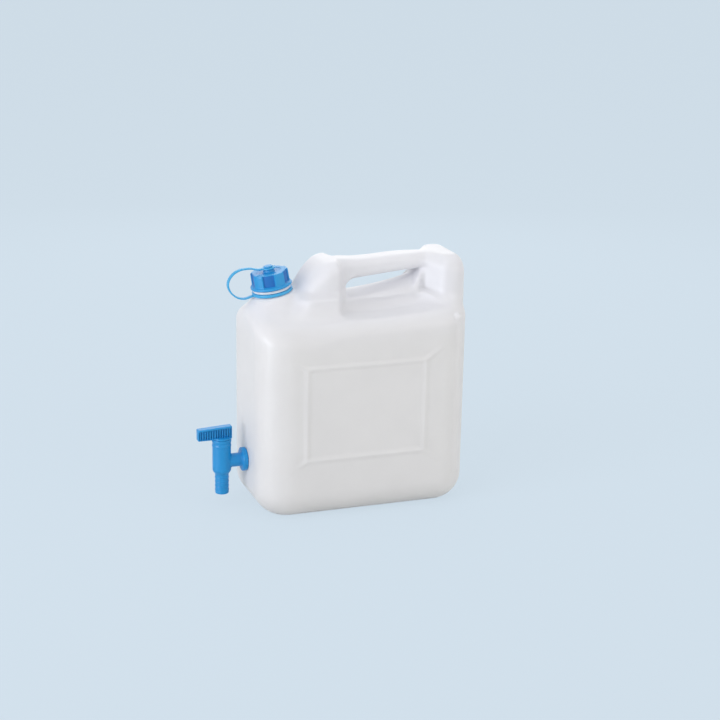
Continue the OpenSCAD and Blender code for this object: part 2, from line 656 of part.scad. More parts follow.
module handle_grooves() {
    pitch = (handle_front + handle_back - 3)/handle_ribs;
    for (s = [-1, 1], i = [0:handle_ribs - 1]) {
        x = -handle_front + 1.5 + pitch*(i + 0.5);
        top = handle_h - edge_band - (handle_back - x)*tan(handle_slope);
        translate([x - pitch*0.27, s*handle_w/2 - rib_depth, 1.2])
            cube([pitch*0.54, 2*rib_depth, top - 1.2]);
    }
}

module tap_handle() color(BLUE) at_barrel() difference() {
    union() {
        translate([0, 0, plug_foot]) cylinder(r = plug_r, h = handle_z - plug_foot + 1);
        translate([0, 0, handle_z]) {
            cylinder(r = hub_plate_r, h = hub_plate_h);
            difference() {
                rotate([90, 0, 0]) linear_extrude(handle_w, center = true) handle_outline();
                handle_grooves();
            }
        }
    }
    translate([0, 0, plug_foot - 1]) cylinder(r = way_r, h = outlet_z + way_r - plug_foot + 1);
    translate([0, 0, outlet_z]) rotate([90, 0, 0]) cylinder(r = way_r, h = plug_r + 1);
    for (z = seal_zs) translate([0, 0, z]) difference() {
        cylinder(r = plug_r + 1, h = ring_t + 0.2);
        translate([0, 0, -1]) cylinder(r = plug_r - seal_depth, h = ring_t + 2.2);
    }
}

module plug_seal(i) color(RUBBER) at_barrel() translate([0, 0, seal_zs[i] + 0.1]) difference() {
    cylinder(r = plug_bore_r - seal_squeeze, h = ring_t);
    translate([0, 0, -1]) cylinder(r = plug_r - seal_depth + seal_squeeze, h = ring_t + 2);
}
module plug_seal_upper() plug_seal(1);
module plug_seal_lower() plug_seal(0);

canister();
screw_cap();
cap_seal();
cap_tether();
tap_body();
tap_gasket();
tap_handle();
plug_seal_upper();
plug_seal_lower();
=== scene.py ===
import json
import math

import bpy
import numpy as np
from bpy.props import FloatProperty, FloatVectorProperty, IntProperty, PointerProperty
from mathutils import Matrix, Vector


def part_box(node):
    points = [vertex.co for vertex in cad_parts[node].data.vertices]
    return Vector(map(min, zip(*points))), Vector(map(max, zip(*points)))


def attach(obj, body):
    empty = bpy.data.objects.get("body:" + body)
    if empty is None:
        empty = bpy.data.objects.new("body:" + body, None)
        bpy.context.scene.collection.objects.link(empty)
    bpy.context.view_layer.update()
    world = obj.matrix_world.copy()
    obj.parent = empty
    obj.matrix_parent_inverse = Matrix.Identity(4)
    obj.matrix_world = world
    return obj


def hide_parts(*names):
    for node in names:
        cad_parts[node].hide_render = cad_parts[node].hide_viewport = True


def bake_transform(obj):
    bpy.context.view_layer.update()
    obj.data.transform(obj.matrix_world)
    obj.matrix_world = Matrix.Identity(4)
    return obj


bl_info = {
    "name": "Water canister with drain tap",
    "version": (1, 0, 0),
    "blender": (4, 5, 0),
    "location": "View3D > Sidebar > Canister",
    "description": "Builds the finish of a blown water canister, its screw cap, tether and drain tap",
    "category": "Object",
}

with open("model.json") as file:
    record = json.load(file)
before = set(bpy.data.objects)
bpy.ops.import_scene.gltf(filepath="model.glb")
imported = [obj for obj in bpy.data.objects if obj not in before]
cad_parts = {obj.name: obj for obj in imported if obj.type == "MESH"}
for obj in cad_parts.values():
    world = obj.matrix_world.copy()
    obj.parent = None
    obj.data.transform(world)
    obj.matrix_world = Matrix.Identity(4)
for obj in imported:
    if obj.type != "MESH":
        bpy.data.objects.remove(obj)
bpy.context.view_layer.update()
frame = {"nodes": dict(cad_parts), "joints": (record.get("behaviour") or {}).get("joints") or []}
JOINTS = {joint["name"]: joint for joint in frame["joints"]}
MM = 0.001

# Places taken from the frame, in millimetres: the seat of the leaning neck and the barrel of the tap
NECK = Vector(JOINTS["cap_turn"]["pos_m"]) / MM
NECK_AXIS = Vector(JOINTS["cap_turn"]["axis"]).normalized()
NECK_LEAN = math.atan2(-NECK_AXIS.x, NECK_AXIS.z)
OUTLET = Vector(JOINTS["tap_turn"]["pos_m"]) / MM
TANK_LOW, TANK_HIGH = (Vector(corner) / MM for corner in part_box("canister"))
FRONT, REAR = TANK_LOW.x, TANK_HIGH.x
TAP_X, TAP_TOP = OUTLET.x, OUTLET.z + 32

# Heights along the leaning neck, from its seat, in millimetres
NECK_TALL = 25.2
CAP_FOOT, CAP_TOP = 8.8, 29.3
EYE_FOOT, EYE_THICK = CAP_TOP + 3.3, 1.8

# The grip hole's ends, and its corners in X and drop below the bar's top, each with its radius, from the
# front foot round
GRIP_FRONT, GRIP_REAR = FRONT + 131, FRONT + 237
GRIP_CORNERS = [(GRIP_FRONT, 50.5, 8), (GRIP_FRONT + 7, 29.5, 9), (GRIP_REAR + 4.5, 19.4, 3.5),
                (GRIP_REAR - 1.5, 28, 3.5), (GRIP_FRONT + 58.3, 42.5, 60)]

# The side frame's lines of beads in X and Z, and how far a corner bead runs off along the wall and down or up
BEAD_X, BEAD_Z = (-87.5, 77.5), (85, 211)
CORNER_REACH, CORNER_FALL = 24, 16
# The broad bead on a rear corner: radius, height over the wall, and the angle round the corner, in degrees
REAR_BEAD_R, REAR_BEAD_HEIGHT, REAR_BEAD_TURN = 6.5, 2.8, 58

# Radii of the tap, in millimetres
FLANGE_R, TAIL_R, STUB_R, PLUG_BORE_R, PLUG_R, WATERWAY_R, NOZZLE_BORE_R = 16, 10, 9.3, 9.3, 9, 5.5, 6.5
# The tap's handle: middle and half length along X, half width, height at its front end, and its falling top
KEY_MIDDLE, KEY_HALF, KEY_HALF_W, KEY_TALL, KEY_FRONT = -10.0, 23.5, 5.5, 17.8, 13.5
KEY_FALL = math.tan(math.radians(3))
# Where the sunk panel of its ribs starts, and how far it stays below the top
PANEL_FOOT, PANEL_DROP = 1.2, 2.6


def colour(code):
    """An sRGB hex code as linear RGBA."""
    parts = [int(code[i:i + 2], 16) / 255 for i in (1, 3, 5)]
    return [c / 12.92 if c <= 0.04045 else ((c + 0.055) / 1.055) ** 2.4 for c in parts] + [1.0]


# --- sizes and colours -----------------------------------------------------------------------------

class TankSettings(bpy.types.PropertyGroup):
    side: FloatProperty(name="Half width", description="Middle to side wall, in mm", default=82.5)
    height: FloatProperty(name="Height", description="Floor to the top of the handle bar, in mm", default=339)
    wall: FloatProperty(name="Wall", description="Thickness of the blown wall, in mm", default=1.6)
    corner: FloatProperty(name="Corner radius", description="Plan radius of the upright corners, in mm", default=45)
    foot: FloatProperty(name="Foot radius", description="Between the walls and the floor, in mm", default=38)
    shoulder: FloatProperty(name="Shoulder radius", description="Between the walls and the shoulder, in mm", default=20)
    bead_radius: FloatProperty(name="Bead radius", description="Radius of the side panel's beads, in mm", default=4.2)
    bead_height: FloatProperty(name="Bead height", description="Height of the beads over the wall, in mm", default=1.55)
    thread_pitch: FloatProperty(name="Thread pitch", description="Rise of the thread in one turn, in mm", default=6)
    skin_step: FloatProperty(name="Skin step", description="Spacing of the outer skin's points, in mm", default=2.5)
    hollow_step: FloatProperty(name="Hollow step", description="Spacing of the inner skin's points, in mm", default=4.5)
    tint: FloatVectorProperty(name="Polyethylene", description="Colour of the unpigmented wall", subtype="COLOR",
                              default=colour("#eeeff2")[:3])


class CapSettings(bpy.types.PropertyGroup):
    lobes: IntProperty(name="Lobes", description="Grip lobes round the cap", default=5)
    lobe_angle: FloatProperty(name="Lobe angle", description="Width of a lobe, in degrees", default=36)
    step: FloatProperty(name="Step", description="Spacing of the cap's points, in mm", default=0.45)
    tint: FloatVectorProperty(name="Cap blue", description="Colour of the cap", subtype="COLOR",
                              default=colour("#2398d8")[:3])
    strap_tint: FloatVectorProperty(name="Strap blue", description="Colour of the tether", subtype="COLOR",
                                    default=colour("#3fabe0")[:3])


class TapSettings(bpy.types.PropertyGroup):
    ribs: IntProperty(name="Grip ribs", description="Ribs on each side of the handle", default=13)
    rings: IntProperty(name="Nozzle rings", description="Raised rings round the hose nozzle", default=4)
    step: FloatProperty(name="Step", description="Spacing of the tap's points, in mm", default=0.5)
    tint: FloatVectorProperty(name="Tap blue", description="Colour of the tap", subtype="COLOR",
                              default=colour("#1490d3")[:3])


class StageSettings(bpy.types.PropertyGroup):
    backdrop: FloatVectorProperty(name="Backdrop", description="Colour behind the canister", subtype="COLOR",
                                  default=colour("#d2e0eb")[:3])
    lens: FloatProperty(name="Lens", description="Focal length on a 36 mm sensor, in mm", default=85)


# --- fields: signed distances in millimetres, negative inside the solid --------------------------------

def curve(table, x):
    """Smooth value of a station table [(x, value), ...], level beyond its ends."""
    t = np.array(table, float)
    xs, vs = t[:, 0], t[:, 1]
    slopes = np.zeros(len(xs))
    slopes[1:-1] = (vs[2:] - vs[:-2]) / (xs[2:] - xs[:-2])
    x = np.clip(x, xs[0], xs[-1])
    i = np.clip(np.searchsorted(xs, x, side="right") - 1, 0, len(xs) - 2)
    w = xs[i + 1] - xs[i]
    u = (x - xs[i]) / w
    v = 1 - u
    ends = vs[i] * v * v * (1 + 2 * u) + vs[i + 1] * u * u * (3 - 2 * u)
    return ends + w * u * v * (slopes[i] * v - slopes[i + 1] * u)


def ease(a, b, x):
    """0 before a, 1 after b, smooth between."""
    u = np.clip((x - a) / (b - a), 0, 1)
    return u * u * (3 - 2 * u)


def common(a, b, r):
    """What two fields share, with the edge between them rounded by r."""
    return np.minimum(np.maximum(a, b), -r) + np.hypot(np.maximum(a + r, 0), np.maximum(b + r, 0))


def joined(a, b, k):
    """Two fields as one, with a fillet about k wide between them."""
    h = np.clip(0.5 + 0.5 * (b - a) / k, 0, 1)
    return b + (a - b) * h - k * h * (1 - h)


def rounded_plan(x, y, half_x, half_y, r):
    """Distance from a rounded rectangle in plan."""
    qx, qy = np.abs(x) - half_x + r, np.abs(y) - half_y + r
    return np.hypot(np.maximum(qx, 0), np.maximum(qy, 0)) + np.minimum(np.maximum(qx, qy), 0) - r


def capsule(x, y, z, a, b, r):
    """Distance from a rod with round ends, from a to b."""
    d = b - a
    t = np.clip(((x - a[0]) * d[0] + (y - a[1]) * d[1] + (z - a[2]) * d[2]) / d.dot(d), 0, 1)
    return np.sqrt((x - a[0] - t * d[0]) ** 2 + (y - a[1] - t * d[1]) ** 2 + (z - a[2] - t * d[2]) ** 2) - r


def on_neck(x, z):
    """The neck's own X and Z of points given in the frame."""
    c, s = math.cos(NECK_LEAN), math.sin(NECK_LEAN)
    dx, dz = x - NECK.x, z - NECK.z
    return dx * c + dz * s, dz * c - dx * s


# --- the blown tank ------------------------------------------------------------------------------------

def handle_lines(top):
    """Station tables along the handle block: ridge, edge radius, half widths, and the heights where they change."""
    return {
        "ridge": [(FRONT + 40, top - 56), (FRONT + 60, top - 43.5), (FRONT + 73, top - 29), (FRONT + 86, top - 13.5),
                  (FRONT + 100, top - 3.5), (FRONT + 113, top - 0.5), (FRONT + 130, top - 1), (FRONT + 150, top - 2.5),
                  (FRONT + 175, top - 2), (FRONT + 205, top), (REAR - 50, top + 0.5), (REAR - 25, top + 1),
                  (REAR, top + 1)],
        "edge": [(FRONT + 50, 26), (FRONT + 95, 22), (FRONT + 113, 15), (GRIP_FRONT, 10), (GRIP_REAR - 12, 10),
                 (REAR - 30, 20), (REAR, 26)],
        "foot": [(FRONT + 34, 26), (FRONT + 52, 42), (FRONT + 70, 51), (FRONT + 84, 53), (FRONT + 106, 53),
                 (FRONT + 114, 50), (FRONT + 124, 30.5), (FRONT + 132, 26), (GRIP_REAR - 20, 26.5),
                 (GRIP_REAR, 30), (GRIP_REAR + 26, 51), (REAR, 53)],
        "ledge": [(FRONT + 38, 24), (FRONT + 58, 38), (FRONT + 74, 47), (FRONT + 88, 49), (FRONT + 108, 49),
                  (FRONT + 115, 46.5), (FRONT + 124, 30.5), (FRONT + 131, 27.5), (GRIP_REAR - 10, 27.5),
                  (GRIP_REAR - 3, 26), (GRIP_REAR + 2, 21.5), (GRIP_REAR + 8, 22.5), (GRIP_REAR + 28, 47.5),
                  (REAR, 49.5)],
        "upper": [(FRONT + 50, 26), (FRONT + 80, 35), (FRONT + 98, 40), (FRONT + 111, 40), (FRONT + 118, 38),
                  (FRONT + 126, 22.5), (FRONT + 132, 19), (GRIP_REAR - 6, 19), (GRIP_REAR + 8, 22),
                  (GRIP_REAR + 28, 47.5), (REAR, 49.5)],
        "under": [(FRONT + 110, top - 68), (FRONT + 126, top - 58), (GRIP_FRONT + 56, top - 57),
                  (GRIP_REAR - 6, top - 53), (GRIP_REAR + 9, top - 52), (GRIP_REAR + 27, top - 62)],
        "run": [(FRONT + 110, 19), (FRONT + 126, 8), (GRIP_REAR + 9, 8), (GRIP_REAR + 27, 19)],
        "ledge_z": [(GRIP_FRONT - 4, top - 46), (GRIP_FRONT + 10, top - 45), (GRIP_FRONT + 53, top - 36),
                    (GRIP_REAR - 8, top - 26), (GRIP_REAR + 4, top - 27), (GRIP_REAR + 30, top - 40)],
    }


def grip_hole(x, y, z, top):
    """Distance from the grip hole's outline, and how far a point is on its upper side. Its floor is crowned."""
    middle = top - 40 + 16.5 * (x - GRIP_FRONT) / (GRIP_REAR - GRIP_FRONT)
    up = ease(-3, 5, z - middle)
    crown = curve([(GRIP_FRONT, 2), (GRIP_FRONT + 58, 6.5), (GRIP_REAR - 10, 14), (GRIP_REAR, 16)], x)
    crowned = z + crown * np.minimum(np.abs(y) / 26, 1.15) ** 2
    field = None
    n = len(GRIP_CORNERS)
    for i, (px, drop, r) in enumerate(GRIP_CORNERS):
        qx, q_drop = GRIP_CORNERS[(i + 1) % n][:2]
        ux, uz = qx - px, drop - q_drop
        size = math.hypot(ux, uz)
        side = (-(x - px) * uz + ((crowned if i > 2 else z) - top + drop) * ux) / size
        field = side if field is None else common(field, side, r if 0 < i < 4 else 6)
    return field, up


def half_width(x, z, tables):
    """Half width of the handle block: its foot, the ledge over it and the narrower part above."""
    foot, ledge, upper, level, under, run = (curve(tables[name], x)
                                             for name in ("foot", "ledge", "upper", "ledge_z", "under", "run"))
    return foot + (ledge - foot) * ease(under, under + run, z) + (upper - ledge) * ease(level - 2, level + 9, z)


def tank_field(x, y, z):
    """The tank's outer skin, without its neck."""
    s = bpy.context.scene.canister_tank
    top, y = s.height, np.abs(y)
    edge = curve([(FRONT + 45, top - 84), (FRONT + 78, top - 80), (FRONT + 112, top - 72.5), (FRONT + 160, top - 71),
                  (REAR - 20, top - 67)], x)
    crown = curve([(FRONT + 40, 24), (FRONT + 75, 19), (FRONT + 115, 3), (REAR - 75, 3), (REAR - 30, 12),
                   (REAR, 12)], x)
    deck = z - edge - crown * (1 - (y / s.side) ** 2)

    # the mound that carries the neck leans with it
    u, w = on_neck(x, z)
    mound = common((np.hypot(u, y) - 27.5 + 0.58 * w) * 0.865, w, 4)
    deck = joined(deck, mound, 18)

    # the handle block: two pillars, a ledge along them, the saddle and the bar
    tables = handle_lines(top)
    steep = half_width(x + 1, z, tables) - half_width(x - 1, z, tables)
    flank = (y - half_width(x, z, tables)) / np.hypot(1, steep / 2)
    deck = joined(deck, common(flank, z - curve(tables["ridge"], x), curve(tables["edge"], x)), 12)

    plan = rounded_plan(x, y, REAR, s.side, s.corner)
    rear = ease(0, 60, x) * ease(top - 66, top - 46, z)
    body = common(common(plan, deck, s.shoulder - 5 * rear), -z, s.foot)

    hole, up = grip_hole(x, y, z, top)
    body = common(body, -hole, 6 + 3 * up)
    return joined(body, beads(x, y, z, s), 1.5)


def beads(x, y, z, s):
    """The raised frame of beads on the side wall, with a bead running off each corner."""
    def at(px, pz, height):
        """Middle of a bead of this height over the side wall, which turns in at its corners."""
        inside = min(px - FRONT, REAR - px)
        back = 0 if inside >= s.corner else s.corner - math.sqrt(s.corner ** 2 - (s.corner - inside) ** 2)
        return np.array((px, s.side - back - s.bead_radius + height, pz))

    corner = [[at(px, pz, s.bead_height) for pz in BEAD_Z] for px in BEAD_X]
    lines = []
    for i in (0, 1):
        lines += [(corner[0][i], corner[1][i]), (corner[i][0], corner[i][1])]
        lines += [(corner[i][j], at(BEAD_X[i] + (2 * i - 1) * CORNER_REACH, BEAD_Z[j] + (2 * j - 1) * CORNER_FALL, 0.2))
                  for j in (0, 1)]
    fields = [capsule(x, y, z, a, b, s.bead_radius) for a, b in lines]
    # the broad upright bead on the rear corner
    turn, out_to = math.radians(REAR_BEAD_TURN), s.corner - REAR_BEAD_R + REAR_BEAD_HEIGHT
    px, py = REAR - s.corner + out_to * math.cos(turn), s.side - s.corner + out_to * math.sin(turn)
    fields.append(capsule(x, y, z, np.array((px, py, 52)), np.array((px, py, s.height - 76)), REAR_BEAD_R))
    out = fields[0]
    for f in fields[1:]:
        out = joined(out, f, 0.6)
    return out


# --- from field to mesh --------------------------------------------------------------------------------

def slope(field, p):
    """Gradient of a field at points p, one row each."""
    h = 0.05
    out = np.empty_like(p)
    for i in range(3):
        q = np.zeros(3)
        q[i] = h
        out[:, i] = (field(*(p + q).T) - field(*(p - q).T)) / (2 * h)
    return out


def net(name, field, low, high, step):
    """A closed mesh of quads where the field is zero, between two corners, in millimetres."""
    axes = [np.arange(a - step, b + 2 * step, step) for a, b in zip(low, high)]
    x, y, z = np.meshgrid(*axes, indexing="ij", sparse=True)
    values = np.broadcast_to(field(x, y, z), [len(a) for a in axes])
    inside = values < 0
    count = sum(inside[i:i - 1 or None, j:j - 1 or None, k:k - 1 or None].astype(np.int8)
                for i in (0, 1) for j in (0, 1) for k in (0, 1))
    cells = (count > 0) & (count < 8)
    index = np.full(cells.shape, -1)
    index[cells] = np.arange(cells.sum())
    p = np.argwhere(cells) * step + np.array([a[0] for a in axes]) + step / 2
    start = p.copy()
    for _ in range(5):
        g = slope(field, p)
        p = p - (field(*p.T) / np.maximum((g * g).sum(1), 0.05))[:, None] * g
        p = np.clip(p, start - step, start + step)
    quads = []
    for axis in range(3):
        a = np.moveaxis(inside, axis, 0)
        ids = np.moveaxis(index, axis, 0)
        change = a[:-1] != a[1:]
        i, j, k = np.nonzero(change[:, 1:-1, 1:-1])
        j, k = j + 1, k + 1
        ring = np.stack([ids[i, j - 1, k - 1], ids[i, j, k - 1], ids[i, j, k], ids[i, j - 1, k]], 1)
        out = a[i, j, k] ^ (axis == 1)
        quads.append(np.where(out[:, None], ring, ring[:, ::-1]))
    return mesh_object(name, p, np.concatenate(quads))


def mesh_object(name, points, faces):
    """A new object whose mesh has these points, given in millimetres."""
    mesh = bpy.data.meshes.new(name)
    faces = faces if isinstance(faces, list) else faces.tolist()
    mesh.from_pydata((np.asarray(points, float) * MM).tolist(), [], faces)
    mesh.update()
    obj = bpy.data.objects.new(name, mesh)
    bpy.context.collection.objects.link(obj)
    return obj


def turned(name, profile, steps, matrix):
    """A closed solid turned about its own Z from (radius, height) points that start and end on the axis."""
    inner = profile[1:-1]
    n = len(inner)
    points = [(0, 0, profile[0][1]), (0, 0, profile[-1][1])]
    for i in range(steps):
        a = 2 * math.pi * i / steps
        points += [(r * math.cos(a), r * math.sin(a), h) for r, h in inner]
    faces = []
    for i in range(steps):
        a, b = 2 + i * n, 2 + (i + 1) % steps * n
        faces += [(a + k, b + k, b + k + 1, a + k + 1) for k in range(n - 1)]
        faces += [(0, b, a), (1, a + n - 1, b + n - 1)]
    obj = mesh_object(name, points, faces)
    obj.data.transform(matrix)
    return obj


def softened(corners, longest=2.0):
    """A line through (r, h, radius) corners with its corners rounded and its long stretches divided."""
    line = [np.array(corners[0][:2], float)]
    for before, corner, after in zip(corners, corners[1:], corners[2:]):
        p, radius = np.array(corner[:2], float), corner[2] if len(corner) > 2 else 0
        u, v = np.array(before[:2]) - p, np.array(after[:2]) - p
        reach = min(radius, 0.48 * np.hypot(*u), 0.48 * np.hypot(*v))
        u, v = u / np.hypot(*u) * reach, v / np.hypot(*v) * reach
        line += [p + u * (1 - t) ** 2 + v * t ** 2 for t in ((0, 0.25, 0.5, 0.75, 1) if reach else (0,))]
    line.append(np.array(corners[-1][:2], float))
    out = [line[0]]
    for a, b in zip(line, line[1:]):
        n = max(1, math.ceil(np.hypot(*(b - a)) / longest))
        out += [a + (b - a) * i / n for i in range(1, n + 1)]
    return [tuple(q) for q in out]


def frame_at(place, lean=0.0):
    """Matrix that puts a shape given in millimetres, once scaled, at a place in the frame, leaning to the front."""
    return Matrix.Translation(Vector(place) * MM) @ Matrix.Rotation(-lean, 4, "Y")


def cut(obj, tool, operation="DIFFERENCE"):
    """Joins or cuts a closed mesh with another, which is used up."""
    modifier = obj.modifiers.new(operation, "BOOLEAN")
    modifier.operation, modifier.solver, modifier.object = operation, "MANIFOLD", tool
    bake(obj)
    bpy.data.objects.remove(tool)


def merge(obj, *others):
    """Adds other objects' meshes to this one's."""
    with bpy.context.temp_override(active_object=obj, object=obj, selected_editable_objects=[obj, *others],
                                   selected_objects=[obj, *others]):
        bpy.ops.object.join()


def bake(obj):
    """Turns an object's modifiers into its own plain mesh."""
    bpy.context.view_layer.update()
    made = bpy.data.meshes.new_from_object(obj.evaluated_get(bpy.context.evaluated_depsgraph_get()))
    obj.modifiers.clear()
    old, obj.data = obj.data, made
    bpy.data.meshes.remove(old)


def finish(obj, material, body, nodes=(), crease=35):
    """Shades a finished piece, gives it its material, and hands it to the frame."""
    obj.data.materials.clear()
    obj.data.materials.append(material)
    obj.data.polygons.foreach_set("material_index", [0] * len(obj.data.polygons))
    obj.data.shade_smooth()
    obj.data.set_sharp_from_angle(angle=math.radians(crease))
    if body:
        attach(obj, body)
    if nodes:
        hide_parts(*nodes)
    return obj


# --- materials -----------------------------------------------------------------------------------------

def add(tree, kind, settings=None, **links):
    """Adds a node with its settings, and sets or links its inputs by name (an underscore stands for a space)."""
    item = tree.nodes.new(kind)
    for key, value in (settings or {}).items():
        setattr(item, key, value)
    for key, value in links.items():
        socket = item.inputs[int(key[1:]) if key[0] == "i" and key[1:].isdigit() else key.replace("_", " ")]
        if isinstance(value, bpy.types.NodeSocket):
            tree.links.new(value, socket)
        else:
            socket.default_value = value
    return item


def plastic(name, tint, roughness, orange_peel, grain, base=None, **sockets):
    """A moulded plastic: broad orange peel from the cooling skin, and a fine grain from the tool's surface."""
    material = bpy.data.materials.new(name)
    material.use_nodes = True
    tree = material.node_tree
    tree.nodes.clear()
    where = add(tree, "ShaderNodeTexCoord").outputs["Object"]
    # a noise of scale 1000 has features about a millimetre across
    broad = add(tree, "ShaderNodeTexNoise", Vector=where, Scale=1000 / orange_peel, Detail=2.0, Roughness=0.5)
    fine = add(tree, "ShaderNodeTexNoise", Vector=where, Scale=1000 / grain, Detail=3.0, Roughness=0.6)
    low = add(tree, "ShaderNodeBump", Strength=0.25, Distance=0.0003, Height=broad.outputs[0])
    both = add(tree, "ShaderNodeBump", Strength=0.12, Distance=0.0001, Height=fine.outputs[0], Normal=low.outputs[0])
    sheen = add(tree, "ShaderNodeMapRange", Value=fine.outputs[0], To_Min=roughness - 0.05, To_Max=roughness + 0.05)
    cloud = add(tree, "ShaderNodeTexNoise", Vector=where, Scale=22.0, Detail=2.0)
    dark = [c * 0.94 for c in tint[:3]] + [1.0]
    mixed = add(tree, "ShaderNodeMix", {"data_type": "RGBA"}, i0=cloud.outputs[0], i6=list(tint[:3]) + [1.0], i7=dark)
    shade = base(tree, where, mixed.outputs[2]) if base else mixed.outputs[2]
    shader = add(tree, "ShaderNodeBsdfPrincipled", Base_Color=shade, Roughness=sheen.outputs[0],
                 Normal=both.outputs[0], **sockets)
    add(tree, "ShaderNodeOutputMaterial", Surface=shader.outputs[0])
    return material


def blown_polyethylene(tint):
    """Natural polyethylene, blown: milky and translucent, so light spreads in the wall and softens every edge."""
    def glow(tree, where, shade):
        # painted light: the base colour is painted whiter up on the narrow handle, which keeps the light, and greyer
        # and warmer on the wide hollow tank below, which lets it escape
        height = add(tree, "ShaderNodeSeparateXYZ", Vector=where).outputs["Z"]
        share = add(tree, "ShaderNodeMapRange", {"interpolation_type": "SMOOTHSTEP"}, Value=height, From_Min=0.22,
                    From_Max=0.31).outputs[0]
        painted_light_wash = add(tree, "ShaderNodeMix", {"data_type": "RGBA"}, i0=share, i6=colour("#f6f5f3"), i7=colour("#fcfcff"))
        return add(tree, "ShaderNodeMix", {"data_type": "RGBA", "blend_type": "MULTIPLY"}, i0=1.0, i6=shade,
                   i7=painted_light_wash.outputs[2]).outputs[2]
    return plastic("natural polyethylene, blown", tint, 0.45, 9.0, 0.9, glow, IOR=1.54, Subsurface_Weight=0.35,
                   Subsurface_Radius=(1.0, 1.0, 1.0), Subsurface_Scale=0.005)


def moulded_polypropylene(name, tint, base=None):
    """Blue polypropylene from a polished tool: a satin skin with a soft highlight and barely any grain."""
    return plastic(name, tint, 0.38, 5.0, 0.5, base, IOR=1.49, Specular_IOR_Level=0.5)


def painted_recess_shade(low, high):
    """Painted shade: a darker blue painted between the cap's lobes, below its top, where little light reaches."""
    def sunk(tree, where, shade):
        place = add(tree, "ShaderNodeMapping", {"vector_type": "TEXTURE"}, Vector=where, Location=NECK * MM,
                    Rotation=(0, -NECK_LEAN, 0))
        split = add(tree, "ShaderNodeSeparateXYZ", Vector=place.outputs[0]).outputs
        flat = add(tree, "ShaderNodeCombineXYZ", X=split["X"], Y=split["Y"])
        radius = add(tree, "ShaderNodeVectorMath", {"operation": "LENGTH"}, i0=flat.outputs[0]).outputs["Value"]
        out = add(tree, "ShaderNodeMapRange", Value=radius, From_Min=low * MM, From_Max=high * MM)
        rise = add(tree, "ShaderNodeMapRange", Value=split["Z"], From_Min=(CAP_TOP - 1.4) * MM, From_Max=CAP_TOP * MM)
        share = add(tree, "ShaderNodeMath", {"operation": "MAXIMUM"}, i0=out.outputs[0], i1=rise.outputs[0])
        # painted shade: the blue is darkened in the recesses between the lobes
        shaded_blue = add(tree, "ShaderNodeMix", {"data_type": "RGBA", "blend_type": "MULTIPLY"}, i0=1.0, i6=shade,
                   i7=(0.28, 0.5, 0.75, 1.0))
        return add(tree, "ShaderNodeMix", {"data_type": "RGBA"}, i0=share.outputs[0], i6=shaded_blue.outputs[2],
                   i7=shade).outputs[2]
    return sunk


# --- geometry node trees ----------------------------------------------------------------------------------

def new_tree(name, sizes):
    """An empty geometry tree with a named float or integer input for each size."""
    tree = bpy.data.node_groups.new(name, "GeometryNodeTree")
    tree.interface.new_socket("Geometry", in_out="OUTPUT", socket_type="NodeSocketGeometry")
    tree.interface.new_socket("Geometry", in_out="INPUT", socket_type="NodeSocketGeometry")
    for key, value in sizes.items():
        kind = "NodeSocketInt" if isinstance(value, int) else "NodeSocketFloat"
        tree.interface.new_socket(key, in_out="INPUT", socket_type=kind)
    return tree, add(tree, "NodeGroupInput").outputs


def grown(name, tree, sizes, geometry, material, start=None):
    """Ends a geometry tree, grows it from a start object or from nothing, and returns the plain mesh object."""
    real = add(tree, "GeometryNodeRealizeInstances", Geometry=geometry)
    dressed = add(tree, "GeometryNodeSetMaterial", Geometry=real.outputs[0], Material=material)
    add(tree, "NodeGroupOutput", Geometry=dressed.outputs[0])
    obj = start or mesh_object(name, [], [])
    modifier = obj.modifiers.new(name, "NODES")
    modifier.node_group = tree
    for item in tree.interface.items_tree:
        if item.in_out == "INPUT" and item.name in sizes:
            modifier[item.identifier] = sizes[item.name]
    bake(obj)
    return obj


def figure(tree, operation, *values):
    """A number worked out from others in a tree."""
    inputs = {f"i{i}": value for i, value in enumerate(values)}
    return add(tree, "ShaderNodeMath", {"operation": operation}, **inputs).outputs[0]


def thread(name, radius, turns, pitch, start, depth, width, seat, material):
    """A screw thread in the neck's own frame. It stands out from its radius, or inwards where depth is negative."""
    sizes = {"Turns": float(turns), "Pitch": pitch * MM, "Radius": radius * MM, "Start": start * MM,
             "Depth": abs(depth) * MM, "Width": width * MM}
    tree, given = new_tree(name, sizes)
    spiral = add(tree, "GeometryNodeCurveSpiral", Resolution=96, Rotations=given["Turns"], Start_Radius=given["Radius"],
                 End_Radius=given["Radius"], Height=figure(tree, "MULTIPLY", given["Turns"], given["Pitch"]),
                 Reverse=True)
    up = add(tree, "ShaderNodeCombineXYZ", Z=given["Start"])
    placed = add(tree, "GeometryNodeTransform", Geometry=spiral.outputs[0], Translation=up.outputs[0])
    upright = add(tree, "GeometryNodeSetCurveNormal", {"mode": "Z_UP"}, Curve=placed.outputs[0])
    section = add(tree, "GeometryNodeCurvePrimitiveQuadrilateral", {"mode": "TRAPEZOID"}, Height=given["Depth"],
                  Bottom_Width=given["Width"], Top_Width=figure(tree, "MULTIPLY", given["Width"], 0.45), Offset=0.0)
    turned_out = add(tree, "GeometryNodeTransform", Geometry=section.outputs[0],
                     Rotation=(0, 0, math.copysign(math.pi / 2, -depth)))
    bar = add(tree, "GeometryNodeCurveToMesh", Curve=upright.outputs[0], Profile_Curve=turned_out.outputs[0],
              Fill_Caps=True)
    obj = grown(name, tree, sizes, bar.outputs[0], material)
    obj.data.transform(seat)
    return obj


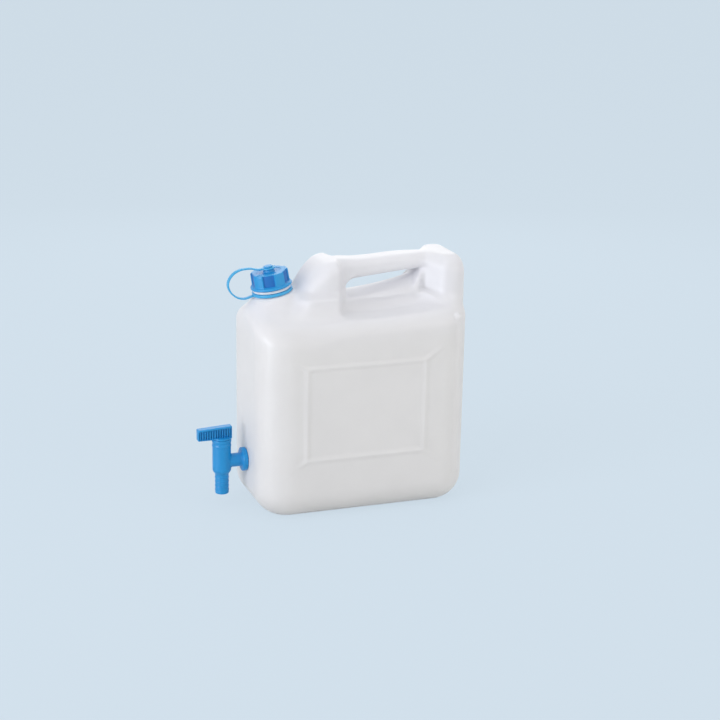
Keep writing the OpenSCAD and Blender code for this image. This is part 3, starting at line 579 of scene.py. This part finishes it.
def lobed(obj, s, low, high, core, outer, material):
    """Presses the recesses between the grip lobes into a turned cap that stands upright on the origin."""
    sizes = {"Lobes": s.lobes, "Lobe half": math.radians(s.lobe_angle / 2), "Turn": math.radians(70.0),
             "Fillet": math.radians(1.6), "Foot": low * MM, "Top": high * MM, "Core": core * MM, "Outer": outer * MM}
    tree, given = new_tree("cap_lobes", sizes)
    split = add(tree, "ShaderNodeSeparateXYZ", Vector=add(tree, "GeometryNodeInputPosition").outputs[0]).outputs
    away = add(tree, "ShaderNodeVectorMath", {"operation": "NORMALIZE"},
               i0=add(tree, "ShaderNodeCombineXYZ", X=split["X"], Y=split["Y"]).outputs[0]).outputs[0]
    radius = figure(tree, "SQRT", figure(tree, "ADD", figure(tree, "MULTIPLY", split["X"], split["X"]),
                                         figure(tree, "MULTIPLY", split["Y"], split["Y"])))
    # angle from the middle of the nearest lobe
    share = figure(tree, "DIVIDE", 2 * math.pi, given["Lobes"])
    angle = figure(tree, "SUBTRACT", figure(tree, "ARCTAN2", split["Y"], split["X"]), given["Turn"])
    phase = figure(tree, "FRACT", figure(tree, "ADD", figure(tree, "DIVIDE", angle, share), 0.5))
    off = figure(tree, "MULTIPLY", figure(tree, "ABSOLUTE", figure(tree, "SUBTRACT", phase, 0.5)), share)
    smooth = {"interpolation_type": "SMOOTHSTEP"}
    between = add(tree, "ShaderNodeMapRange", smooth, Value=off,
                  From_Min=figure(tree, "SUBTRACT", given["Lobe half"], given["Fillet"]),
                  From_Max=figure(tree, "ADD", given["Lobe half"], given["Fillet"])).outputs[0]
    rise = add(tree, "ShaderNodeMapRange", smooth, Value=split["Z"], From_Min=given["Foot"],
               From_Max=figure(tree, "ADD", given["Foot"], 1.4 * MM)).outputs[0]
    reach = add(tree, "ShaderNodeMapRange", Value=radius, From_Min=figure(tree, "SUBTRACT", given["Core"], 2.0 * MM),
                From_Max=given["Outer"]).outputs[0]
    press = figure(tree, "MULTIPLY", figure(tree, "MULTIPLY", between, rise),
                   figure(tree, "MULTIPLY", reach, figure(tree, "SUBTRACT", given["Core"], given["Outer"])))
    moved = add(tree, "GeometryNodeSetPosition", Geometry=given["Geometry"],
                Offset=add(tree, "ShaderNodeVectorMath", {"operation": "SCALE"}, i0=away, Scale=press).outputs[0])
    return grown("cap_lobes", tree, sizes, moved.outputs[0], material, obj)


def row_of_ribs(count, start, pitch, radius, foot, height, fall, side, seat, material):
    """Upright half-round ribs in a row along X on both sides of a handle, as tall as its sloping top allows."""
    sizes = {"Ribs": count, "Start": start * MM, "Pitch": pitch * MM, "Radius": radius * MM, "Foot": foot * MM,
             "Height": height * MM, "Slope": fall, "Side": side * MM}
    tree, given = new_tree("handle_ribs", sizes)
    line = add(tree, "GeometryNodeMeshLine", Count=given["Ribs"],
               Start_Location=add(tree, "ShaderNodeCombineXYZ", X=given["Start"], Z=given["Foot"]).outputs[0],
               Offset=add(tree, "ShaderNodeCombineXYZ", X=given["Pitch"]).outputs[0])
    rib = add(tree, "GeometryNodeMeshCylinder", Vertices=14, Radius=given["Radius"], Depth=1.0)
    stood = add(tree, "GeometryNodeTransform", Geometry=rib.outputs["Mesh"], Translation=(0, 0, 0.5))
    split = add(tree, "ShaderNodeSeparateXYZ", Vector=add(tree, "GeometryNodeInputPosition").outputs[0]).outputs
    tall = figure(tree, "MULTIPLY_ADD", figure(tree, "SUBTRACT", split["X"], given["Start"]), given["Slope"],
                  given["Height"])
    ribs = add(tree, "GeometryNodeInstanceOnPoints", Points=line.outputs[0], Instance=stood.outputs[0],
               Scale=add(tree, "ShaderNodeCombineXYZ", X=1.0, Y=1.5, Z=tall).outputs[0])
    both = add(tree, "GeometryNodeJoinGeometry")
    for sign in (-1, 1):
        shift = add(tree, "ShaderNodeCombineXYZ", Y=figure(tree, "MULTIPLY", given["Side"], float(sign)))
        placed = add(tree, "GeometryNodeTransform", Geometry=ribs.outputs[0], Translation=shift.outputs[0])
        tree.links.new(placed.outputs[0], both.inputs[0])
    obj = grown("handle_ribs", tree, sizes, both.outputs[0], material)
    obj.data.transform(seat)
    return obj


def nozzle_rings(count, radius, low, high, seat, material):
    """Low round rings along the hose nozzle, evenly from its foot up."""
    sizes = {"Rings": count, "Radius": radius * MM, "Low": low * MM, "Gap": (high - low) / (count - 1) * MM,
             "Bead": 0.75 * MM}
    tree, given = new_tree("nozzle_rings", sizes)
    line = add(tree, "GeometryNodeMeshLine", Count=given["Rings"],
               Start_Location=add(tree, "ShaderNodeCombineXYZ", Z=given["Low"]).outputs[0],
               Offset=add(tree, "ShaderNodeCombineXYZ", Z=given["Gap"]).outputs[0])
    loop = add(tree, "GeometryNodeCurvePrimitiveCircle", Resolution=72, Radius=given["Radius"])
    section = add(tree, "GeometryNodeCurvePrimitiveCircle", Resolution=10, Radius=given["Bead"])
    ring = add(tree, "GeometryNodeCurveToMesh", Curve=loop.outputs[0], Profile_Curve=section.outputs[0])
    rings = add(tree, "GeometryNodeInstanceOnPoints", Points=line.outputs[0], Instance=ring.outputs[0])
    obj = grown("nozzle_rings", tree, sizes, rings.outputs[0], material)
    obj.data.transform(seat)
    return obj


def strap(points, width, thick, seat, material):
    """A flat strap with rounded edges that follows a smooth line through points in the neck's own frame."""
    sizes = {"Width": width * MM, "Thickness": thick * MM}
    tree, given = new_tree("tether_strap", sizes)
    line = add(tree, "GeometryNodeMeshToCurve", Mesh=given["Geometry"])
    smooth = add(tree, "GeometryNodeCurveSplineType", {"spline_type": "CATMULL_ROM"}, Curve=line.outputs[0])
    fine = add(tree, "GeometryNodeSetSplineResolution", Geometry=smooth.outputs[0], Resolution=8)
    upright = add(tree, "GeometryNodeSetCurveNormal", {"mode": "MINIMUM_TWIST"}, Curve=fine.outputs[0])
    section = add(tree, "GeometryNodeCurvePrimitiveQuadrilateral", {"mode": "RECTANGLE"}, Width=given["Width"],
                  Height=given["Thickness"])
    soft = add(tree, "GeometryNodeFilletCurve", {"mode": "POLY"}, Curve=section.outputs[0], Count=3,
               Radius=figure(tree, "MULTIPLY", given["Thickness"], 0.36))
    bar = add(tree, "GeometryNodeCurveToMesh", Curve=upright.outputs[0], Profile_Curve=soft.outputs[0], Fill_Caps=True)
    mesh = bpy.data.meshes.new("tether_strap")
    mesh.from_pydata([(x * MM, 0, z * MM) for x, z in points], [(i, i + 1) for i in range(len(points) - 1)], [])
    obj = bpy.data.objects.new("tether_strap", mesh)
    bpy.context.collection.objects.link(obj)
    grown("tether_strap", tree, sizes, bar.outputs[0], material, obj)
    obj.data.transform(seat)
    return obj


# --- operators ------------------------------------------------------------------------------------------

class CANISTER_OT_tank(bpy.types.Operator):
    """Blown tank with its handle, beads and threaded neck"""
    bl_idname = "canister.tank"
    bl_label = "Tank"

    def execute(self, context):
        s = context.scene.canister_tank
        low, high = (FRONT, -85, 0), (REAR, 85, s.height + 2)
        skin = net("canister_skin", tank_field, low, high, s.skin_step)
        hollow = net("canister_hollow", lambda x, y, z: tank_field(x, y, z) + s.wall, low, high, s.hollow_step)
        seat, tall = frame_at(NECK, NECK_LEAN), NECK_TALL
        neck = softened([(0, -10), (20, -10), (20, 4.4, 0.6), (25, 4.4, 0.7), (25, 7.8, 0.9), (20, 7.8, 0.8),
                         (20, tall, 0.9), (0, tall)], 3)
        cut(skin, turned("neck", neck, 128, seat), "UNION")
        cut(skin, hollow)
        bore = [(0, -14), (17.6, -14), (17.6, tall - 0.8), (18.4, tall + 1), (0, tall + 1)]
        cut(skin, turned("neck_bore", bore, 128, seat))
        front = Matrix.Translation(Vector((FRONT, 0, OUTLET.z)) * MM) @ Matrix.Rotation(-math.pi / 2, 4, "Y")
        cut(skin, turned("outlet_hole", [(0, -13), (10.3, -13), (10.3, 2), (0, 2)], 64, front))
        polyethylene = blown_polyethylene(s.tint)
        merge(skin, thread("neck_thread", radius=19.8, turns=2.0, pitch=s.thread_pitch, start=10.2, depth=1.3,
                           width=2.4, seat=seat, material=polyethylene))
        finish(skin, polyethylene, "tank", ["canister"])
        return {"FINISHED"}


class CANISTER_OT_cap(bpy.types.Operator):
    """Screw cap with its grip lobes, flange, thread and button"""
    bl_idname = "canister.cap"
    bl_label = "Screw cap"

    def execute(self, context):
        s = context.scene.canister_cap
        core, outer, flange = 22.6, 25.3, 27.5
        hub, eye, button = 6.0, CAP_TOP + 3.2, CAP_TOP + 5.2
        line = [(0, CAP_TOP - 2.3), (21.5, CAP_TOP - 2.3, 0.6), (21.5, CAP_FOOT + 0.8, 0.4), (22.2, CAP_FOOT, 0.3),
                (flange, CAP_FOOT, 0.9), (flange, CAP_FOOT + 3.0, 1.1), (outer, CAP_FOOT + 3.8, 0.5),
                (outer - 0.4, CAP_TOP, 1.6), (16.5, CAP_TOP, 0.3), (16.0, CAP_TOP - 0.5, 0.3),
                (8.0, CAP_TOP - 0.5, 0.8), (hub + 0.3, eye, 0.4), (4.2, eye), (4.2, button), (hub, button, 0.4),
                (hub, button + 2.0, 1.4), (0, button + 2.0)]
        # the cap's material has painted shade in the recesses between its lobes
        blue = moulded_polypropylene("blue polypropylene, moulded satin", s.tint, painted_recess_shade(core + 0.4, outer - 0.8))
        cap = turned("screw_cap_skin", softened(line, 1.2), 360, Matrix())
        cap = lobed(cap, s, CAP_FOOT + 3.6, CAP_TOP, core, outer, blue)
        seat = frame_at(NECK, NECK_LEAN)
        cap.data.transform(seat)
        pitch = context.scene.canister_tank.thread_pitch
        merge(cap, thread("cap_thread", radius=21.6, turns=1.6, pitch=pitch, start=CAP_FOOT + 4.4, depth=-1.2,
                          width=2.4, seat=seat, material=blue))
        finish(cap, blue, "cap", ["screw_cap"])
        return {"FINISHED"}


class CANISTER_OT_tether(bpy.types.Operator):
    """Tether: the ring under the neck's collar, the strap and the eye on the cap's button"""
    bl_idname = "canister.tether"
    bl_label = "Tether"

    def execute(self, context):
        s = context.scene.canister_cap
        blue = moulded_polypropylene("blue polypropylene, thin strap", s.strap_tint)
        seat = frame_at(NECK, NECK_LEAN)
        eye, thick = EYE_FOOT, EYE_THICK
        middle = eye + thick / 2
        line = [(-24.4, 1.7), (-28, 1.2), (-33, 0.6), (-40, 0.6), (-48, 4), (-54.5, 11), (-57.5, 19), (-57, 26),
                (-53, 32.5), (-46, 37.5), (-38, 39.6), (-31, 39.4), (-23, 38), (-15, middle + 1.2), (-6.6, middle)]
        tether = strap(line, 6.5, thick + 0.3, seat, blue)
        ring = turned("tether_ring", softened([(0, 0.3), (27, 0.3, 0.9), (27, 4.1, 0.9), (0, 4.1)], 4), 128, seat)
        cut(tether, ring, "UNION")
        plate = softened([(0, eye), (8.8, eye, 0.6), (8.8, eye + thick, 0.6), (0, eye + thick)], 3)
        cut(tether, turned("tether_eye", plate, 64, seat), "UNION")
        cut(tether, turned("ring_hole", softened([(0, -1), (20.6, -1), (20.6, 6), (0, 6)], 8), 128, seat))
        cut(tether, turned("eye_hole", [(0, eye - 1), (4.5, eye - 1), (4.5, eye + 3), (0, eye + 3)], 48, seat))
        finish(tether, blue, None)
        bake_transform(tether)
        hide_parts("cap_tether")
        return {"FINISHED"}


class CANISTER_OT_tap(bpy.types.Operator):
    """Drain tap: barrel, hose nozzle, stub and flange"""
    bl_idname = "canister.tap"
    bl_label = "Drain tap"

    def execute(self, context):
        s = context.scene.canister_tap
        blue = moulded_polypropylene("blue polypropylene, drain tap", s.tint)
        tap = net("tap_skin", tap_field, (TAP_X - 14, -FLANGE_R - 1, 21), (FRONT + 15, FLANGE_R + 1, TAP_TOP + 1),
                  s.step)
        merge(tap, nozzle_rings(s.rings, radius=8.85, low=27.0, high=45.0, seat=frame_at((TAP_X, 0, 0)),
                                material=blue))
        finish(tap, blue, "tank", ["tap_body"])
        return {"FINISHED"}


def tap_field(x, y, z):
    """The tap's moulding round its barrel's axis, open for the plug and the water."""
    axis, u = np.hypot(x - TAP_X, y), x - FRONT
    radius = curve([(22, 9.2), (49.4, 9.25), (50.8, 9.9), (54.0, 12.0), (56, 12.5), (88.8, 12.5), (89.6, 12.9),
                    (91.0, 12.9), (91.8, 12.5), (95.0, 12.5), (95.8, 13.1), (99.2, 13.1)], z)
    low = OUTLET.z - 45
    barrel = common(axis - radius, np.abs(z - (low + TAP_TOP) / 2) - (TAP_TOP - low) / 2, 0.9)
    across = np.hypot(y, z - OUTLET.z)
    stub = common(across - STUB_R, np.abs(u + 18) - 16.5, 0.5)
    # the flange is hollow at the back, where the gasket sits
    flange = common(common(across - FLANGE_R, np.abs(u + 3.3) - 3.15, 1.0), -np.maximum(across - 14.8, -1.5 - u), 0.3)
    lip = common(across - 13.4, np.abs(u + 4.5) - 2.7, 0.6)
    tail = common(across - TAIL_R, np.abs(u - 6) - 8, 0.6)
    out = joined(joined(joined(barrel, stub, 2.2), joined(flange, lip, 0.8), 1.6), tail, 0.5)
    plug = np.maximum(axis - PLUG_BORE_R, OUTLET.z - 8.9 - z)
    spout = np.maximum(axis - NOZZLE_BORE_R, z - OUTLET.z + 8)
    way = np.maximum(across - WATERWAY_R, TAP_X - x)
    hollow = np.minimum(np.minimum(plug, spout), way)
    return common(out, -hollow, 0.4)


def key_field(x, y, z):
    """The T-handle with its hub and plug. The panels for the grip ribs are sunk into its sides."""
    u, w = x - TAP_X, z - TAP_TOP - 0.3
    top = KEY_TALL - (KEY_FRONT - u) * KEY_FALL
    along = np.abs(u - KEY_MIDDLE) - KEY_HALF
    block = common(common(np.abs(y) - KEY_HALF_W, along, 1.8), np.maximum(w - top, -w), 1.1)
    outline = common(along + 1.3, np.maximum(PANEL_FOOT - w, w - top + PANEL_DROP), 0.6)
    block = common(block, -common(2.4 - np.abs(y), outline, 0.4), 0.35)
    axis = np.hypot(u, y)
    plate = common(axis - 12.7, np.abs(w - 1.2) - 1.2, 0.5)
    foot = OUTLET.z - 8.6
    plug = common(axis - PLUG_R, np.abs(z - (foot + TAP_TOP + 1) / 2) - (TAP_TOP + 1 - foot) / 2, 0.4)
    out = joined(joined(block, plate, 0.9), plug, 0.3)
    bore = np.maximum(axis - WATERWAY_R, z - OUTLET.z - WATERWAY_R)
    port = np.maximum(np.hypot(u, z - OUTLET.z) - WATERWAY_R, y)
    # the grooves of the two sealing rings
    for groove in (OUTLET.z + 8.5, OUTLET.z + 24):
        port = np.minimum(port, np.maximum(7.6 - axis, np.maximum(np.abs(z - groove - 1.1) - 1.1, axis - 9.5)))
    return common(out, -np.minimum(bore, port), 0.25)


class CANISTER_OT_tap_key(bpy.types.Operator):
    """Ribbed T-handle of the tap, in one piece with its plug"""
    bl_idname = "canister.tap_key"
    bl_label = "Tap handle"

    def execute(self, context):
        s = context.scene.canister_tap
        blue = moulded_polypropylene("blue polypropylene, tap handle", s.tint)
        key = net("tap_key_skin", key_field, (TAP_X - 34, -13, OUTLET.z - 10), (TAP_X + 14, 13, TAP_TOP + 19), s.step)
        pitch, foot = 44.2 / s.ribs, 0.9
        start = KEY_MIDDLE - pitch * (s.ribs - 1) / 2
        tall = KEY_TALL - (KEY_FRONT - start) * KEY_FALL - PANEL_DROP - foot + 0.5
        ribs = row_of_ribs(s.ribs, start, pitch, radius=pitch * 0.28, foot=foot, height=tall, fall=KEY_FALL,
                           side=3.7, seat=frame_at((TAP_X, 0, TAP_TOP + 0.3)), material=blue)
        merge(key, ribs)
        finish(key, blue, "tap_key", ["tap_handle"])
        return {"FINISHED"}


class CANISTER_OT_seals(bpy.types.Operator):
    """Finish of the cap's sealing disc, the tap's gasket and the plug's rings"""
    bl_idname = "canister.seals"
    bl_label = "Seals"

    def execute(self, context):
        # foamed polyethylene: a dull white disc with fine closed cells
        foam = plastic("foamed polyethylene disc", colour("#dfe3e6"), 0.7, 2.5, 0.4, IOR=1.5)
        # nitrile rubber: near black, dull, with a slight bloom
        rubber = plastic("nitrile rubber, moulded", colour("#2b2d30"), 0.55, 4.0, 0.3, IOR=1.52)
        for node, material in (("cap_seal", foam), ("tap_gasket", rubber), ("plug_seal_upper", rubber),
                               ("plug_seal_lower", rubber)):
            data = frame["nodes"][node].data
            data.materials.clear()
            data.materials.append(material)
        return {"FINISHED"}


class CANISTER_OT_stage(bpy.types.Operator):
    """Floor, backdrop, lamps and camera"""
    bl_idname = "canister.stage"
    bl_label = "Stage"

    def execute(self, context):
        build_stage(context, context.scene.canister_stage)
        return {"FINISHED"}


# Name, place in metres, size in metres, power in watts and colour of each lamp
LAMPS = [("key", (-1.7, -1.0, 1.5), 1.8, 11, "#f8f9ff"), ("side", (-1.92, -0.55, 0.28), 1.0, 9, "#f5f5ff"),
         ("fill", (1.4, -1.6, 0.8), 1.6, 7, "#fff8f0"), ("back", (0.5, 1.5, 0.9), 1.2, 5, "#ffffff"),
         ("strip", (-1.92, -0.55, 0.22), 0.4, 16, "#f2f8ff"), ("top", (0.2, 0.5, 1.9), 1.6, 3.5, "#f8fbff")]
# The camera aims at this point, from this far in metres, at these angles in degrees. The middle of its view
# lies off the middle of the picture, which is 720 pixels wide and high.
AIM, DISTANCE = Vector((0, 0, 0.15)), 2.3205
AZIMUTH, ELEVATION, ROLL = -19.852, 17.591, 0.926
VIEW_MIDDLE, PICTURE = (349.459, 390.594), 720


def build_stage(context, s):
    """The floor, the world's light, the lamps and the camera."""
    scene = context.scene
    scene.view_settings.view_transform = "Standard"

    # a floor wide enough to fill the view behind the canister
    mesh = bpy.data.meshes.new("floor")
    mesh.from_pydata([(x, y, 0) for x, y in ((-14, -14), (14, -14), (14, 14), (-14, 14))], [], [(0, 1, 2, 3)])
    floor = bpy.data.objects.new("floor", mesh)
    context.collection.objects.link(floor)
    floor.data.materials.append(paper(s.backdrop))

    world = bpy.data.worlds.new("studio")
    scene.world = world
    world.use_nodes = True
    world.node_tree.nodes["Background"].inputs["Color"].default_value = colour("#ffffff")
    world.node_tree.nodes["Background"].inputs["Strength"].default_value = 0.74

    for name, place, size, power, tint in LAMPS:
        light = bpy.data.lights.new(name, "AREA")
        light.shape, light.size, light.energy, light.color = "DISK", size, power, colour(tint)[:3]
        lamp = bpy.data.objects.new(name, light)
        # the strip only adds a highlight along the rounded plastic
        lamp.visible_diffuse = name != "strip"
        context.collection.objects.link(lamp)
        lamp.location = place
        lamp.rotation_euler = (AIM - Vector(place)).to_track_quat("-Z", "Y").to_euler()

    azimuth, elevation, roll = math.radians(AZIMUTH), math.radians(ELEVATION), math.radians(ROLL)
    away = Vector((math.sin(azimuth) * math.cos(elevation), -math.cos(azimuth) * math.cos(elevation),
                   math.sin(elevation)))
    right = Vector((math.cos(azimuth), math.sin(azimuth), 0))
    up = away.cross(right)
    turned_right = right * math.cos(roll) + up * math.sin(roll)
    turned_up = up * math.cos(roll) - right * math.sin(roll)
    data = bpy.data.cameras.new("camera")
    data.lens, data.sensor_width = s.lens, 36
    data.shift_x, data.shift_y = (PICTURE / 2 - VIEW_MIDDLE[0]) / PICTURE, (VIEW_MIDDLE[1] - PICTURE / 2) / PICTURE
    camera = bpy.data.objects.new("camera", data)
    context.collection.objects.link(camera)
    turn = Matrix((turned_right, turned_up, away)).transposed().to_4x4()
    camera.matrix_world = Matrix.Translation(AIM + away * DISTANCE) @ turn
    scene.camera = camera


def paper(tint):
    """Matt background paper. It shows its own colour to the camera and in reflections, less the object's shadow."""
    material = bpy.data.materials.new("matt background paper")
    material.use_nodes = True
    tree = material.node_tree
    tree.nodes.clear()
    tone = list(tint[:3]) + [1.0]
    matt = add(tree, "ShaderNodeBsdfDiffuse", Color=tone, Roughness=0.9)
    bounce = add(tree, "ShaderNodeBsdfDiffuse", Color=colour("#e8e8e6"), Roughness=0.9)
    glow = add(tree, "ShaderNodeEmission", Color=tone, Strength=1.0)
    path = add(tree, "ShaderNodeLightPath")
    seen = add(tree, "ShaderNodeMath", {"operation": "MAXIMUM"}, i0=path.outputs["Is Camera Ray"],
               i1=path.outputs["Is Glossy Ray"])
    shown = add(tree, "ShaderNodeMath", {"operation": "MAXIMUM"}, i0=seen.outputs[0],
                i1=path.outputs["Is Transmission Ray"])
    dim = add(tree, "ShaderNodeMixShader", i0=0.85, i1=matt.outputs[0], i2=glow.outputs[0])
    mixed = add(tree, "ShaderNodeMixShader", i0=shown.outputs[0], i1=bounce.outputs[0], i2=dim.outputs[0])
    add(tree, "ShaderNodeOutputMaterial", Surface=mixed.outputs[0])
    return material


class CANISTER_PT_panel(bpy.types.Panel):
    """Lists the canister's pieces and their sizes"""
    bl_idname = "CANISTER_PT_panel"
    bl_label = "Canister"
    bl_space_type = "VIEW_3D"
    bl_region_type = "UI"
    bl_category = "Canister"

    def draw(self, context):
        for group in GROUPS:
            box = self.layout.box()
            settings = getattr(context.scene, group)
            for key in settings.__annotations__:
                box.prop(settings, key)
        for operator in OPERATORS:
            self.layout.operator(operator.bl_idname)


GROUPS = {"canister_tank": TankSettings, "canister_cap": CapSettings, "canister_tap": TapSettings,
          "canister_stage": StageSettings}
OPERATORS = [CANISTER_OT_tank, CANISTER_OT_cap, CANISTER_OT_tether, CANISTER_OT_tap, CANISTER_OT_tap_key,
             CANISTER_OT_seals, CANISTER_OT_stage]


def register():
    for group in (*GROUPS.values(), *OPERATORS, CANISTER_PT_panel):
        bpy.utils.register_class(group)
    for name, group in GROUPS.items():
        setattr(bpy.types.Scene, name, PointerProperty(type=group))


def unregister():
    for name in GROUPS:
        delattr(bpy.types.Scene, name)
    for group in (*GROUPS.values(), *OPERATORS, CANISTER_PT_panel):
        bpy.utils.unregister_class(group)


def main():
    register()
    for operator in OPERATORS:
        area, name = operator.bl_idname.split(".")
        getattr(getattr(bpy.ops, area), name)()


if __name__ == "__main__":
    main()
